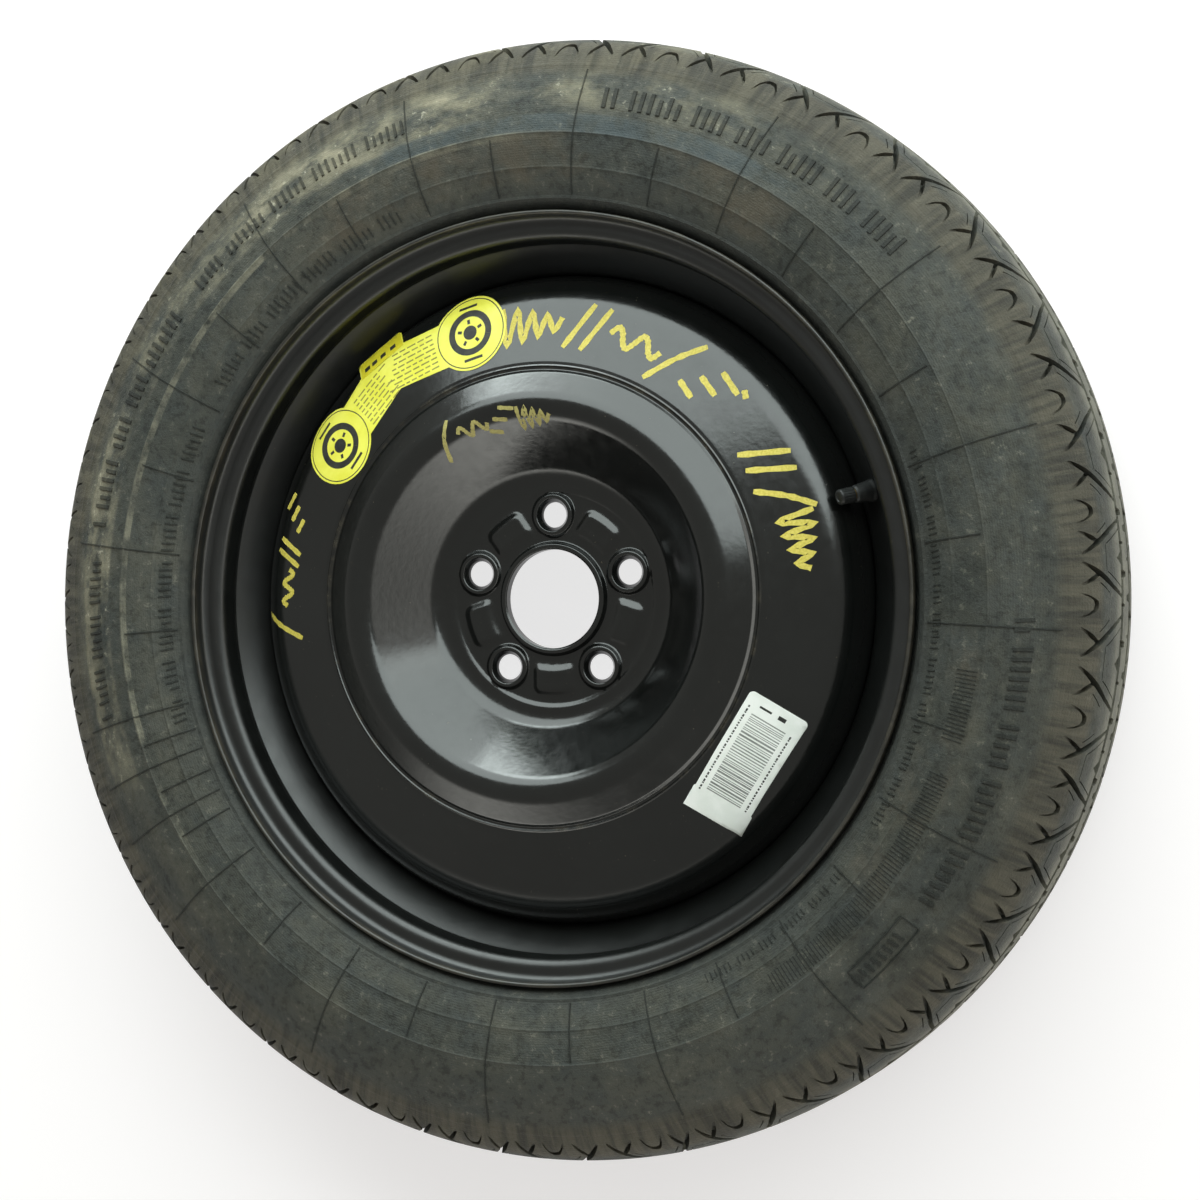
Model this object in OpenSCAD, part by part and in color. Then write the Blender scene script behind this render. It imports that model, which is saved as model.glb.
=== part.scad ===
// Narrow temporary road wheel: pressed steel wheel, tubeless tyre and snap-in valve.
// It lies on its back: +Z is the wheel's axis, the outer face is up, the floor is z = 0.

/* [Tyre] */
// Outside diameter of the tyre
tyre_d = 721; // [700:1:740]
// Widest width across the sidewalls
section_w = 150; // [144:1:156]
// Width between the two shoulder edges of the tread
tread_w = 106; // [100:1:112]
// How far the shoulder edge lies below the crown
shoulder_drop = 13.5; // [11:0.5:16]
// Rubber and belts together under the tread's middle
crown_t = 13.5; // [12:0.5:16]
// Sidewall thickness
side_t = 7; // [6:0.5:9]

/* [Tread] */
// Depth of the tread grooves
groove_depth = 6; // [4:0.5:7]
// Distance of the two ring grooves from the tyre's middle
ring_groove_z = 12; // [11:0.5:14]
// Width of the two ring grooves
ring_groove_w = 6; // [4:0.5:7]
// Width of the slanted shoulder grooves at their widest
slant_w = 2.8; // [2:0.2:3.4]

/* [Rim] */
// Bead seat diameter at the flange
rim_d = 462; // [458:1:466]
// Width between the flanges
rim_w = 101.6; // [98:0.2:104]
// Height of the flange over the bead seat
flange_h = 14.1; // [13:0.1:16]
// How far the flange curls outward
flange_curl = 12.8; // [11:0.2:14]
// Sheet thickness of the rim
rim_t = 2.8; // [2.4:0.1:3.2]
// Depth of the well below the bead seat
well_depth = 19.2; // [17:0.2:21]
// Distance of the bead seats' inner ends from the middle
seat_end_z = 33.4; // [32.5:0.1:34]

/* [Disc] */
// Sheet thickness of the disc
disc_t = 3.4; // [3:0.1:4]
// Distance of the mounting face outboard of the tyre's middle
hub_offset = 26; // [24:0.5:28]
// Radius of the flat pad round the bolt holes
pad_r = 68; // [67:0.5:70]
// Radius of the crest round the bowl
crest_r = 120; // [118:0.5:122]
// Height of the crest over the pad
crest_h = 41.2; // [39:0.2:43]
// Radius of the rounded outer shoulder
shoulder_r = 199.5; // [198:0.5:201]
// Height of the outer shoulder over the pad
shoulder_h = 11.6; // [10:0.2:13]
// Length of the skirt that sits in the rim's well
skirt_l = 16; // [12:1:20]

/* [Hub interface] */
// Centre bore
bore_d = 63.4; // [60:0.1:66]
// Wall of the collar round the bore
collar_w = 3.6; // [3:0.1:4.5]
// Height of the collar over the pad
collar_h = 3.8; // [2:0.2:5]
// Bolt circle diameter
bolt_circle_d = 108; // [106:1:110]
// Number of bolt holes
bolt_count = 5; // [5:1:5]
// Bolt hole diameter
bolt_hole_d = 16.4; // [14:0.2:17]
// Full angle of the conical bolt seats
seat_angle = 60; // [50:1:70]
// Diameter of a boss at its top
boss_d = 24.4; // [23.6:0.2:26]
// Height of a boss over the pad
boss_h = 3; // [2:0.2:4]
// Turn of the first bolt hole past +Y
hole_turn = 1.8; // [0:0.1:10]

/* [Valve] */
// Angle of the valve round the wheel
valve_angle = 18.9; // [0:0.1:60]
// Distance of the valve hole outward of the middle of the rim's ramp
valve_shift = 2.5; // [2:0.1:3]
// Diameter of the valve hole in the rim
valve_hole_d = 11.3; // [11:0.1:11.6]
// Length of the rubber cone outside the rim
valve_cone_l = 14; // [13:0.5:16]
// How far the brass stem stands out of the rubber
valve_thread_l = 8.5; // [8:0.1:9]
// Outside diameter of the stem's thread
valve_thread_d = 7.7; // [7.5:0.1:8]
// Cap diameter
cap_d = 9.8; // [9.6:0.1:10.4]
// Cap length
cap_l = 10.2; // [9.6:0.1:10.4]

/* [Labels] */
// Diameter of the two round fields of the yellow sticker
sticker_d = 48.5; // [46:0.5:49]
// Thickness of the sticker and the label
label_t = 0.25; // [0.2:0.05:0.4]
// Length of the white label
label_l = 84; // [80:1:88]
// Width of the white label
label_w = 39; // [36:1:41]
// Distance of the white label's middle from the axis
label_r = 169.8; // [169:0.2:171]

/* [Hidden] */
$fn = 120;

// Shared places; mid_z is the height of the tyre's middle plane over the floor
eps = 0.01;
mid_z = section_w / 2;
tyre_r = tyre_d / 2;
seat_r = rim_d / 2;
flange_z = rim_w / 2;
flange_r = seat_r + flange_h;
lip_z = flange_z + flange_curl;
well_r = seat_r - well_depth;
seat_slope = tan(5);
seat_end_r = seat_r - (flange_z - seat_end_z) * seat_slope;
ramp_foot_z = seat_end_z - (seat_end_r - well_r);
bore_r = bore_d / 2;
pad_back_z = hub_offset;
pad_z = pad_back_z + disc_t;
skirt_r = well_r - rim_t;
hole_r = bolt_hole_d / 2;

// Curves and outlines
function bezier(p, n) = [for (i = [0:n]) let (t = i / n, s = 1 - t)
    s * s * s * p[0] + 3 * s * s * t * p[1] + 3 * s * t * t * p[2] + t * t * t * p[3]];

function unit(v) = v / norm(v);

function left_of(v) = [-v[1], v[0]];

function reversed(list) = [for (i = [len(list) - 1:-1:0]) list[i]];

function mirrored(points) = [for (p = points) [p[0], -p[1]]];

// Corner of a path replaced by an arc; each corner is [x, y, fillet radius, arc steps]
function corner_arc(a, b, c) =
    let (corner = [b[0], b[1]],
        u = unit([a[0], a[1]] - corner),
        v = unit([c[0], c[1]] - corner),
        half = acos(u * v) / 2,
        centre = corner + unit(u + v) * b[2] / sin(half),
        from = corner + u * b[2] / tan(half) - centre,
        to = corner + v * b[2] / tan(half) - centre,
        start = atan2(from[1], from[0]),
        turn = atan2(to[1], to[0]) - start,
        sweep = turn > 180 ? turn - 360 : turn < -180 ? turn + 360 : turn)
    [for (i = [0:b[3]]) let (w = start + sweep * i / b[3])
        centre + b[2] * [cos(w), sin(w)]];

function rounded_path(c) = [for (i = [0:len(c) - 1])
    each c[i][2] > 0 ? corner_arc(c[i - 1], c[i], c[i + 1]) : [[c[i][0], c[i][1]]]];

// The path moved to its left by d, with mitred corners
function offset_path(p, d) = [for (i = [0:len(p) - 1])
    let (a = i == 0 ? unit(p[1] - p[0]) : unit(p[i] - p[i - 1]),
        b = i == len(p) - 1 ? a : unit(p[i + 1] - p[i]),
        n = unit(left_of(a) + left_of(b)))
    p[i] + n * d / (n * left_of(a))];

// Closed outline of a sheet of thickness t whose one face follows the path
function sheet_outline(p, t) = concat(p, reversed(offset_path(p, t)));

module revolve(outline) {
    translate([0, 0, mid_z])
        rotate_extrude()
            polygon(outline);
}

// Tyre section: points are [radius, distance from the middle], from the crown to the bead
bulge_r = seat_r + 0.463 * (tyre_r - seat_r);
tread_half = tread_w / 2;
hump_run = 5.5;
toe_z = seat_end_z + hump_run + 0.1;
wall_steps = 6;

function seat_at(z) = seat_r - (flange_z - z) * seat_slope;

// Half of the section's line, taken in by crown_in under the tread and by side_in at the sidewall
function half_wall(crown_in, side_in) =
    let (crown = [tyre_r - crown_in, 0],
        edge = [tyre_r - shoulder_drop - crown_in * 0.9, tread_half - side_in],
        bulge = [bulge_r, mid_z - side_in])
    concat(
        bezier([crown, crown + [0, tread_half * 0.57], edge + [11, -9], edge], wall_steps),
        bezier([edge, edge + [-10, 6], bulge + [19, 0], bulge], wall_steps));

outer_half = concat(
    half_wall(0, 0),
    bezier([[bulge_r, mid_z], [bulge_r - 15, mid_z], [flange_r + 12.5, lip_z + 6],
        [flange_r + 3.6, lip_z - 1]], wall_steps),
    [[flange_r + 1, lip_z - 6], [flange_r - 2, flange_z + 1.6], [flange_r - 4, flange_z],
        [seat_r + 4.2, flange_z], [seat_r + 1.6, flange_z - 1.8],
        [seat_at(flange_z - 4.2), flange_z - 4.2], [seat_at(toe_z), toe_z]]);
inner_half = concat(
    half_wall(crown_t, side_t),
    bezier([[bulge_r, mid_z - side_t], [bulge_r - 14, mid_z - side_t],
        [flange_r + 10, flange_z + 4], [flange_r - 1, flange_z - 9]], wall_steps),
    [[seat_r + 3, toe_z]]);

module carcass() {
    outline = concat(reversed(mirrored(outer_half)), outer_half, reversed(inner_half),
        mirrored(inner_half));
    revolve([for (i = [0:len(outline) - 1])
        if (i == 0 || norm(outline[i] - outline[i - 1]) > eps) outline[i]]);
}

// Tread pitches around the tyre: a long one has five parts, a short one four
pitch_order = "SSSSLSLLLLLLLLLLSSSSLSSSLSSSSLSSLSLS";
pitch_turn = -46.6;

function parts_at(i) = pitch_order[i] == "L" ? 5 : 4;

function parts_before(i) = i == 0 ? 0 : parts_before(i - 1) + parts_at(i - 1);

part_angle = 360 / parts_before(len(pitch_order));

// Outline of a stroke: each point is [x, y, width]
function stroke(p) =
    let (line = [for (q = p) [q[0], q[1]]],
        left = [for (i = [0:len(p) - 1]) offset_path(line, p[i][2] / 2)[i]],
        right = [for (i = [0:len(p) - 1]) offset_path(line, -p[i][2] / 2)[i]])
    concat(left, reversed(right));

function flat_w(parts) = parts * part_angle * PI / 180 * (tyre_r - 5);

// The shoulder pattern round the start of a pitch, flat, with the crown at y = 0: two slanted
// grooves with their forks and the notch between them
module pitch_pattern(left, right) {
    foot = ring_groove_z;
    fork = tread_half - 6;
    tip = tread_half + 3;
    for (side = [0, 1]) mirror([side, 0]) {
        w = flat_w(side == 0 ? right : left);
        polygon(stroke([[0.085 * w, foot, 1.8], [0.19 * w, foot + 21, slant_w * 0.9],
            [0.345 * w, fork, slant_w], [0.46 * w, tip, 0.8]]));
        polygon(stroke([[0.345 * w, fork - 0.5, 2], [0.21 * w, tip, 0.8]]));
    }
    polygon([[-0.05 * flat_w(left), fork], [0.05 * flat_w(right), fork],
        [0.13 * flat_w(right), tip], [0.11 * flat_w(right), tip], [0, fork + 3.4],
        [-0.11 * flat_w(left), tip], [-0.13 * flat_w(left), tip]]);
}

// The triangle at the middle of a pitch
module middle_notch(parts) {
    notch_l = 11;
    polygon([[-0.07 * flat_w(parts), ring_groove_z], [0.07 * flat_w(parts), ring_groove_z],
        [0, ring_groove_z + notch_l]]);
}

// A flat pattern stood up at an angle of the tread and pushed outward through it
module through_tread(turn) {
    rotate([0, 0, turn])
        translate([tyre_r - 25, 0, 0])
            rotate([90, 0, 90])
                linear_extrude(30) children();
}

// Everything that the moulds' ribs take out above the groove floor, on the upper half
module groove_cuts() {
    count = len(pitch_order);
    for (i = [0:count - 1]) {
        turn = pitch_turn + part_angle * parts_before(i);
        through_tread(turn) pitch_pattern(parts_at((i + count - 1) % count), parts_at(i));
        through_tread(turn + part_angle * parts_at(i) / 2) middle_notch(parts_at(i));
    }
}

module groove_shell() {
    edge = [tyre_r - shoulder_drop - groove_depth, tread_half + 4.5];
    floor_line = bezier([[tyre_r - groove_depth, 0], [tyre_r - groove_depth, 30],
        edge + [9.5, -13.5], edge], 3);
    rotate_extrude()
        polygon(concat(floor_line, [[tyre_r + 2, tread_half + 4.5], [tyre_r + 2, 0]]));
}

module ring_groove() {
    rotate_extrude()
        translate([tyre_r - groove_depth, ring_groove_z - ring_groove_w / 2])
            square([groove_depth + 2, ring_groove_w]);
}

module tread_half_cuts() {
    ring_groove();
    intersection() {
        groove_shell();
        groove_cuts();
    }
}

module tyre() {
    color([0.19, 0.2, 0.195])
        difference() {
            carcass();
            translate([0, 0, mid_z]) tread_half_cuts();
            translate([0, 0, mid_z])
                rotate([0, 0, part_angle * 2])
                    mirror([0, 0, 1]) tread_half_cuts();
        }
}

// Rim: the tyre's side of the sheet, from the outer lip to the back lip
hump_h = 1.2;
rim_half = [[flange_r, lip_z, 0], [flange_r, flange_z, 8, 5], [seat_r, flange_z, 4, 3],
    [seat_at(seat_end_z + hump_run), seat_end_z + hump_run, 0],
    [seat_end_r + hump_h, seat_end_z + 2.8, 0], [seat_end_r, seat_end_z, 0],
    [well_r, ramp_foot_z, 5, 3]];

module rim() {
    corners = concat(rim_half, reversed([for (c = rim_half) [c[0], -c[1], c[2], c[3]]]));
    color([0.07, 0.07, 0.075])
        difference() {
            revolve(sheet_outline(rounded_path(corners), -rim_t));
            valve_frame() cylinder(d = valve_hole_d, h = 20, center = true);
        }
}

// Disc: the front face of the sheet, from the pad to the end of the skirt
step_z = pad_z + 2;
terrace_z = pad_z + crest_h - 12.4;
slope_top = [crest_r + 29.5, terrace_z - 0.3];
skirt_end_z = ramp_foot_z + 2 - skirt_l;
shoulder_fillet = 9;
shoulder_steps = 6;
disc_front = rounded_path([[bore_r + 9, pad_z, 0], [pad_r - 0.8, pad_z, 1.2, 2],
    [pad_r + 1.4, step_z, 1.2, 2], [pad_r + 11, step_z, 6, 4],
    [crest_r - 5, pad_z + crest_h - 1, 6, 4], [crest_r + 5, pad_z + crest_h, 9, 4],
    [crest_r + 23, terrace_z + 2, 1.6, 2], [crest_r + 25.4, terrace_z, 1.6, 2],
    [slope_top[0], slope_top[1], 3, 2],
    [shoulder_r, pad_z + shoulder_h, shoulder_fillet, shoulder_steps],
    [skirt_r, ramp_foot_z + 2, 5, 3], [skirt_r, skirt_end_z, 0]]);

disc_back = offset_path(rounded_path([[bore_r + 9, pad_z, 0], [pad_r + 1, pad_z, 5, 2],
    [pad_r + 10, step_z - 0.5, 6, 3], [crest_r - 5, pad_z + crest_h - 1, 6, 4],
    [crest_r + 5, pad_z + crest_h, 9, 4], [crest_r + 26, terrace_z, 12, 2],
    [shoulder_r, pad_z + shoulder_h, shoulder_fillet, shoulder_steps],
    [skirt_r, ramp_foot_z + 2, 5, 3], [skirt_r, skirt_end_z, 0]]), -disc_t);

module disc_sheet() {
    revolve(concat([[bore_r, pad_z + collar_h], [bore_r + collar_w - 1, pad_z + collar_h],
        [bore_r + collar_w, pad_z + collar_h - 1], [bore_r + collar_w + 0.8, pad_z]],
        disc_front, reversed(disc_back), [[bore_r + 1.2, pad_back_z], [bore_r, pad_back_z + 1.2]]));
}

module at_bolts(turn) {
    for (i = [0:bolt_count - 1])
        rotate([0, 0, 90 + hole_turn + turn + i * 360 / bolt_count])
            children();
}

module boss() {
    translate([bolt_circle_d / 2, 0, mid_z + pad_z - 1])
        cylinder(d1 = boss_d + 4, d2 = boss_d, h = boss_h + 1);
}

module bolt_seat() {
    seat_depth = 4.6;
    translate([bolt_circle_d / 2, 0, mid_z + pad_back_z - 1])
        cylinder(r = hole_r, h = 20);
    translate([bolt_circle_d / 2, 0, mid_z + pad_z + boss_h - seat_depth])
        cylinder(r1 = hole_r, r2 = hole_r + (seat_depth + 1) * tan(seat_angle / 2),
            h = seat_depth + 1);
}

// Raised plateau between two bolt holes
module plateau() {
    height = 2.2;
    length = 26;
    width = 17;
    slope = 2;
    middle = bolt_circle_d / 2 - 1.5;
    translate([0, 0, mid_z + pad_z - 1])
        intersection() {
            rotate_extrude()
                polygon([[middle - width / 2 - slope, 0], [middle + width / 2 + slope, 0],
                    [middle + width / 2, height + 1], [middle - width / 2, height + 1]]);
            rotate([90, 0, 90])
                linear_extrude(pad_r)
                    polygon([[-length / 2 - slope, 0], [length / 2 + slope, 0],
                        [length / 2, height + 1], [-length / 2, height + 1]]);
        }
}

module wheel_disc() {
    color([0.06, 0.06, 0.065])
        difference() {
            union() {
                disc_sheet();
                at_bolts(0) boss();
                at_bolts(180 / bolt_count) plateau();
            }
            at_bolts(0) bolt_seat();
        }
}

// Weld beads between the skirt's end and the rim's well, at the back
weld_count = 8;
weld_arc = 30;
weld_leg = disc_t;

module weld_beads() {
    color([0.09, 0.09, 0.09])
        for (i = [0:weld_count - 1])
            rotate([0, 0, i * 360 / weld_count])
                translate([0, 0, mid_z + skirt_end_z])
                    rotate_extrude(angle = weld_arc)
                        polygon([[skirt_r - weld_leg, 0], [skirt_r, 0], [skirt_r, -weld_leg],
                            [skirt_r - weld_leg * 0.4, -weld_leg * 0.85],
                            [skirt_r - weld_leg * 0.85, -weld_leg * 0.4]]);
}

// Valve: drawn upright, with z = 0 on the ramp's air side and +z out of the wheel
valve_r = (well_r + seat_end_r) / 2 + valve_shift * cos(45);
valve_z = (ramp_foot_z + seat_end_z) / 2 + valve_shift * cos(45);
stem_top = valve_cone_l + valve_thread_l;
bore_small = 1.75;
core_top = stem_top - 1;

module valve_frame() {
    rotate([0, 0, valve_angle])
        translate([valve_r, 0, mid_z + valve_z])
            rotate([0, -45, 0])
                translate([0, 0, rim_t])
                    children();
}

module turned(outline) {
    valve_frame()
        rotate_extrude()
            polygon(outline);
}

module valve_rubber() {
    neck = valve_hole_d / 2;
    stem_hole = valve_thread_d / 2 - 0.9;
    color([0.08, 0.08, 0.08])
        turned([[stem_hole, -rim_t - 1.5], [stem_hole, valve_cone_l], [stem_hole + 1.6, valve_cone_l],
            [stem_hole + 2.5, valve_cone_l - 1.2], [neck + 0.9, 3.4], [neck + 1.5, 1.6],
            [neck + 1.5, 0.3], [neck + 1.2, 0], [neck, 0], [neck, -rim_t], [neck + 3.4, -rim_t],
            [neck + 3.4, -rim_t - 1.6], [neck + 2.4, -rim_t - 3.4], [neck - 0.6, -rim_t - 5.6],
            [bore_small, -rim_t - 6], [bore_small, -rim_t - 1.5]]);
}

module valve_stem() {
    r = valve_thread_d / 2;
    color([0.72, 0.58, 0.32])
        turned([[bore_small, -rim_t - 1.5], [r - 0.9, -rim_t - 1.5], [r - 0.9, valve_cone_l],
            [r, valve_cone_l], [r, stem_top - 0.6], [r - 0.6, stem_top], [2.9, stem_top],
            [2.65, stem_top - 0.6], [2.65, core_top - 6], [2.2, core_top - 8.6],
            [2.2, core_top - 18], [bore_small, core_top - 19]]);
}

module core_barrel() {
    color([0.75, 0.6, 0.3])
        turned([[0.6, core_top], [0.6, core_top - 8], [1.3, core_top - 8], [1.3, core_top - 14],
            [0.9, core_top - 14], [0.9, core_top - 15], [1.7, core_top - 15],
            [1.7, core_top - 8.4], [1.4, core_top - 8.4], [1.4, core_top - 6],
            [2.6, core_top - 6], [2.6, core_top]]);
}

module core_seal() {
    color([0.85, 0.2, 0.15])
        turned([[1.4, core_top - 6], [2.65, core_top - 6], [2.24, core_top - 8.36],
            [1.4, core_top - 8.36]]);
}

module core_pin() {
    color([0.8, 0.66, 0.36])
        turned([[0, core_top + 0.4], [0.5, core_top + 0.4], [0.5, core_top - 8.6],
            [1.1, core_top - 8.6], [1.1, core_top - 9.4], [0.5, core_top - 9.4],
            [0.5, core_top - 17.2], [0, core_top - 17.2]]);
}

module core_cup() {
    color([0.1, 0.1, 0.1])
        turned([[0.5, core_top - 15], [1.6, core_top - 15], [1.6, core_top - 16.6],
            [0.5, core_top - 16.6]]);
}

// Coil spring of round wire, between the pin's collar and the barrel's floor
module core_spring() {
    wire_r = 0.15;
    mean_r = 0.85;
    turns = 6;
    steps = 12;
    sides = 6;
    rings = turns * steps;
    top = core_top - 9.4 - wire_r;
    bottom = core_top - 14 + wire_r;
    points = [for (i = [0:rings]) let (turn = 360 * i / steps, z = bottom + (top - bottom) * i / rings)
        for (k = [0:sides - 1]) let (w = 360 * k / sides, r = mean_r + wire_r * cos(w))
            [r * cos(turn), r * sin(turn), z + wire_r * sin(w)]];
    walls = [for (i = [0:rings - 1], k = [0:sides - 1])
        let (a = i * sides + k, b = i * sides + (k + 1) % sides)
            [a, b, b + sides, a + sides]];
    ends = [[for (k = [sides - 1:-1:0]) k], [for (k = [0:sides - 1]) rings * sides + k]];
    color([0.8, 0.8, 0.82])
        valve_frame() polyhedron(points, concat(walls, ends), convexity = 10);
}

module valve_cap() {
    r = cap_d / 2;
    inner = valve_thread_d / 2 + 0.1;
    top = stem_top + 2.4;
    base = top - cap_l;
    color([0.16, 0.16, 0.16])
        difference() {
            turned([[inner, base], [r - 0.3, base], [r, base + 0.4], [r, top - 1.3],
                [r - 0.4, top - 0.5], [r - 1.2, top], [r - 2.2, top], [r - 2.6, top - 0.5],
                [0, top - 0.5], [0, stem_top + 0.8], [inner, stem_top + 0.8]]);
            valve_frame()
                for (i = [0:15])
                    rotate([0, 0, i * 22.5])
                        translate([r + 0.35, 0, base + 1])
                            cylinder(r = 0.6, h = cap_l - 3.4, $fn = 16);
        }
}

module cap_seal() {
    color([0.12, 0.12, 0.12])
        turned([[1.4, stem_top], [valve_thread_d / 2 - 0.2, stem_top],
            [valve_thread_d / 2 - 0.2, stem_top + 0.8], [1.4, stem_top + 0.8]]);
}

// Labels: a thin layer that follows the disc's slope and the start of its rounded shoulder,
// and then leaves it in a straight line, cut to the label's outline seen from above
shoulder_arc = corner_arc(slope_top,
    [shoulder_r, pad_z + shoulder_h, shoulder_fillet, shoulder_steps],
    [skirt_r, ramp_foot_z + 2]);
head_gap = 4;
tail_l = 14;
leave = 4;
leave_way = unit(shoulder_arc[leave] - shoulder_arc[leave - 1]);
label_base = concat([slope_top + unit(shoulder_arc[0] - slope_top) * head_gap],
    [for (i = [0:leave]) shoulder_arc[i]], [shoulder_arc[leave] + leave_way * tail_l]);

module label_layer() {
    glue_t = 0.1;
    revolve(sheet_outline(offset_path(label_base, glue_t), label_t));
}

function polar(r, turn) = r * [cos(turn), sin(turn)];

// Yellow sticker: two round fields on a band with a knee, and a tab that overhangs the shoulder
fast_r = 178.5;
slow_r = 174.5;
fast_field = polar(fast_r, 108);
slow_field = polar(slow_r, 146.3);
knee_turn = 128.3;
knee_outer_r = 195;
knee_inner_r = 168;
band_w = 31;
tab_w = 38;
tab_reach = 206.5;

function field_arc(centre) =
    let (way = polar((knee_outer_r + knee_inner_r) / 2, knee_turn) - centre,
        half = asin(band_w / sticker_d))
    [for (i = [0:24])
        centre + polar(sticker_d / 2, atan2(way[1], way[0]) + half + (360 - 2 * half) * i / 24)];

function tab_corner(reach, side) =
    polar(reach, knee_turn) + left_of(polar(1, knee_turn)) * side * tab_w / 2;

sticker_outline = concat(field_arc(fast_field),
    [tab_corner(knee_outer_r, -1), tab_corner(tab_reach, -1), tab_corner(tab_reach, 1),
        tab_corner(knee_outer_r, 1)],
    field_arc(slow_field), [polar(knee_inner_r, knee_turn - 1.2)]);

module yellow_sticker() {
    color([0.93, 0.9, 0.1])
        intersection() {
            label_layer();
            translate([0, 0, mid_z])
                linear_extrude(pad_z + crest_h)
                    polygon(sticker_outline);
        }
}

module white_label() {
    place = polar(label_r, -35.66);
    turn = 59;
    color([0.92, 0.92, 0.88])
        intersection() {
            label_layer();
            translate([place[0], place[1], mid_z])
                rotate([0, 0, turn])
                    linear_extrude(pad_z + crest_h)
                        square([label_l, label_w], center = true);
        }
}

tyre();
rim();
wheel_disc();
weld_beads();
valve_rubber();
valve_stem();
core_barrel();
core_seal();
core_pin();
core_spring();
core_cup();
valve_cap();
cap_seal();
yellow_sticker();
white_label();
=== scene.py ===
"""Narrow spare wheel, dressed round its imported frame.

Sizes are millimetres, with heights measured from the tyre's middle plane, until mesh_piece() turns them
into the frame's metres, where the wheel lies on the floor at z = 0.
"""
import math
import random

import bmesh
import bpy
import numpy as np
from mathutils import Matrix, Vector
from mathutils.geometry import delaunay_2d_cdt


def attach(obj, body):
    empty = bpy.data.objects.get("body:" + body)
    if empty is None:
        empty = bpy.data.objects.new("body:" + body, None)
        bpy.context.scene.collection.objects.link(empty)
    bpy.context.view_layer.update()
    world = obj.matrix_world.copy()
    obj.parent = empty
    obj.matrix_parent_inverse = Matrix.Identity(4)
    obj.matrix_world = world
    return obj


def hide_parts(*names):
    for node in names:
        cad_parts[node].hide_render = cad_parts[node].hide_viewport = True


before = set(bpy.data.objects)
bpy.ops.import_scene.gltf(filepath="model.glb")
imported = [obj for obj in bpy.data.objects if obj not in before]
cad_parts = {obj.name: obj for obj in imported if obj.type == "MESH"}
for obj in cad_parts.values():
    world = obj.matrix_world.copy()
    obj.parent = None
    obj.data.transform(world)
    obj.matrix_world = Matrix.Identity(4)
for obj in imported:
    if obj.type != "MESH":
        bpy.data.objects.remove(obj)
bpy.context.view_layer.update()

MM = 0.001
MID_Z = 75.0
TYRE_R = 360.5
TREAD_HALF = 53.0
TREAD_EDGE_R = 347.0
BULGE_R = 290.96
SEAT_R = 231.0
FLANGE_Z = 50.8
FLANGE_R = 245.1
LIP_Z = 63.6
BEAD_R = FLANGE_R + 3.6
SEAT_END_Z = 33.4
SEAT_END_R = 229.48
WELL_R = 211.8
RAMP_FOOT_Z = 15.72
RIM_T = 2.8
BORE_R = 31.7
COLLAR_END_R = BORE_R + 9
HOLE_R = 8.2
HOLE_COUNT = 5
HOLE_STEP = 360 / HOLE_COUNT
BOLT_CIRCLE_R = 54.0
PAD_BACK_Z = 26.0
PAD_Z = 29.4
STEP_Z = 31.4
PAD_R = 68.0
CREST_R = 120.0
CREST_Z = 70.6
TERRACE_Z = 58.2
SHOULDER_R = 199.5
SHOULDER_Z = 41.0
SKIRT_R = 209.0
SKIRT_END_Z = 1.72
DISC_T = 3.4
HOLE_TURN = 91.8
GLUE_T = 0.1
FILM_T = 0.25
VALVE_HOLE_R = 5.65
VALVE_AT = Vector((0.20854249, 0.07140005, 0.10330882))
VALVE_WAY = Vector((-0.668983, -0.229044, 0.707107))


# Outlines

def unit(v):
    return v / np.linalg.norm(v)


def left_of(v):
    return np.array((-v[1], v[0]))


def polar(radius, turn):
    """Plan point at a radius and an angle in degrees."""
    a = math.radians(turn)
    return np.array((radius * math.cos(a), radius * math.sin(a)))


def circle(centre, radius, steps):
    return np.array([centre + polar(radius, 360 * k / steps) for k in range(steps)])


def fall(value, start, run):
    """One up to the start, then smoothly down to nought over the run."""
    t = np.clip((value - start) / run, 0, 1)
    return 1 - t * t * (3 - 2 * t)


def bezier(p, steps):
    t = np.linspace(0, 1, steps + 1)[:, None]
    s = 1 - t
    a, b, c, d = (np.array(q, float) for q in p)
    return s ** 3 * a + 3 * s * s * t * b + 3 * s * t * t * c + t ** 3 * d


def rounded_path(corners):
    """Path through corners of (x, y, fillet radius)."""
    arc_step = 7.0
    points = []
    for i, (x, y, radius) in enumerate(corners):
        b = np.array((x, y), float)
        if radius == 0:
            points.append(b)
            continue
        u = unit(np.array(corners[i - 1][:2], float) - b)
        v = unit(np.array(corners[i + 1][:2], float) - b)
        half = math.acos(float(u @ v)) / 2
        centre = b + unit(u + v) * radius / math.sin(half)
        start = b + u * radius / math.tan(half) - centre
        end = b + v * radius / math.tan(half) - centre
        from_a = math.atan2(start[1], start[0])
        sweep = math.remainder(math.atan2(end[1], end[0]) - from_a, math.tau)
        steps = max(2, math.ceil(abs(math.degrees(sweep)) / arc_step))
        for k in range(steps + 1):
            w = from_a + sweep * k / steps
            points.append(centre + radius * np.array((math.cos(w), math.sin(w))))
    return np.array(points)


def offset_path(p, d):
    """The path moved to its left by d, with mitred corners."""
    out = []
    for i in range(len(p)):
        a = unit(p[1] - p[0]) if i == 0 else unit(p[i] - p[i - 1])
        b = a if i == len(p) - 1 else unit(p[i + 1] - p[i])
        n = unit(left_of(a) + left_of(b))
        out.append(p[i] + n * d / float(n @ left_of(a)))
    return np.array(out)


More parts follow.
